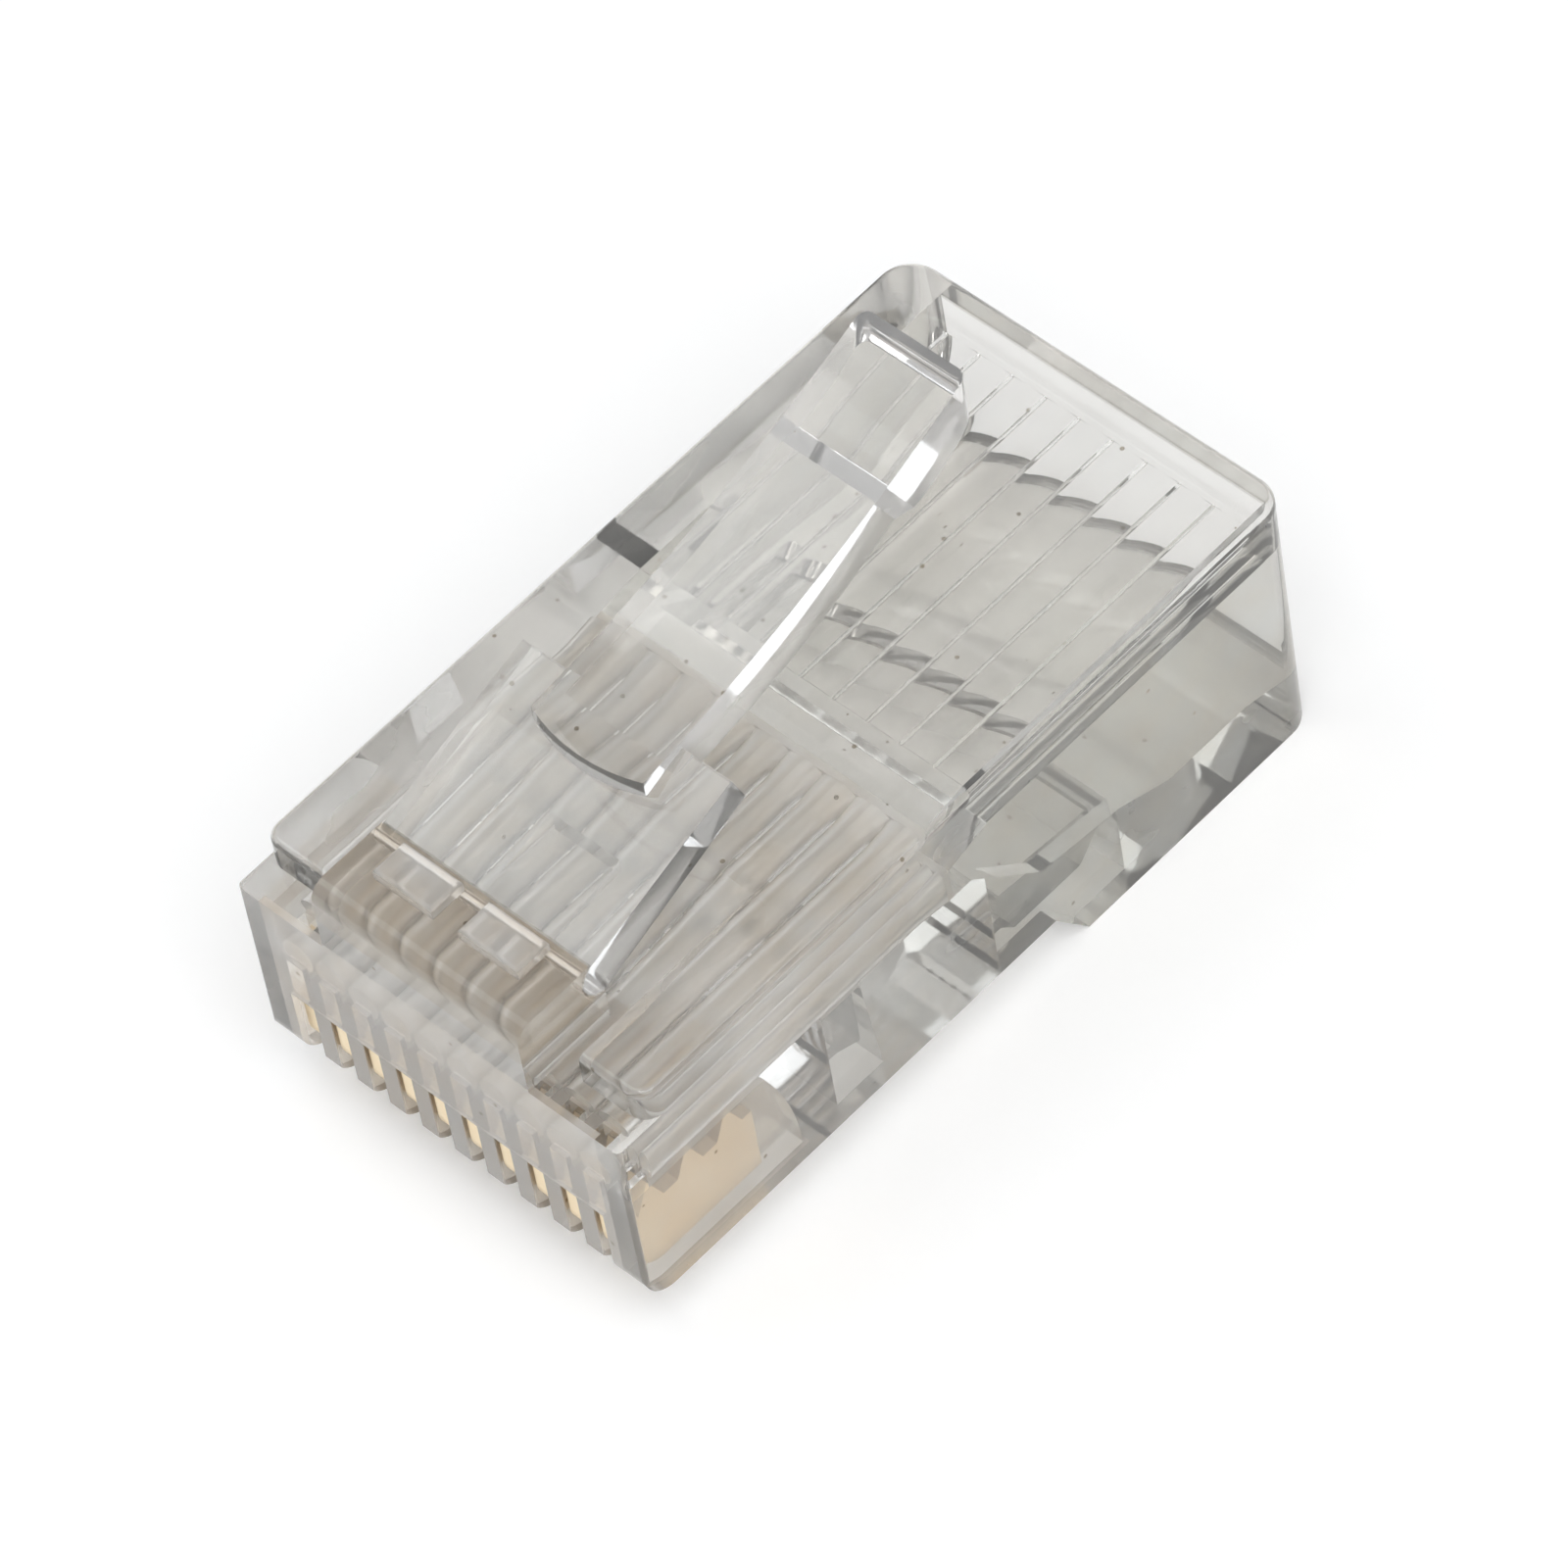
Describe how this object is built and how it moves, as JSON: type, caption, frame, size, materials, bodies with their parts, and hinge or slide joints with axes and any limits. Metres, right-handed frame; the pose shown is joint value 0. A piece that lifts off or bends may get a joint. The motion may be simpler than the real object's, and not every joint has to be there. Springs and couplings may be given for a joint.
{
  "type": "ten position modular plug",
  "caption": "Clear moulded modular plug for round cable, with sprung latch tab, blade contacts in nose slots, wire channels and strain relief bars, shown before crimping.",
  "frame": {"origin": "centre of the bounding box's base: in the plane of the rear block's underside, midway across the width and midway along the length", "axes": "+X across the width, +Y from the nose towards the cable end, +Z from the contact side towards the latch"},
  "size_m": [0.0116, 0.022, 0.0138],
  "materials": {
    "clear_housing": "clear polycarbonate, polished mould finish",
    "clear_latch": "clear polycarbonate, polished mould finish",
    "contact_metal": "gold plated copper alloy strip, sheared edges"
  },
  "bodies": {
    "shell": {"housing": "clear_housing", "contact_1": "contact_metal", "contact_2": "contact_metal", "contact_3": "contact_metal", "contact_4": "contact_metal", "contact_5": "contact_metal", "contact_6": "contact_metal", "contact_7": "contact_metal", "contact_8": "contact_metal", "contact_9": "contact_metal", "contact_10": "contact_metal"},
    "latch_arm": {"latch": "clear_latch"}
  },
  "joints": [
    {"name": "latch_press", "type": "hinge", "parent": "shell", "child": "latch_arm", "pos_m": [0, -0.0084, 0.00848], "axis": [-1, 0, 0], "range_deg": [0, 15], "stiffness_Nm_per_rad": 0.29}
  ]
}
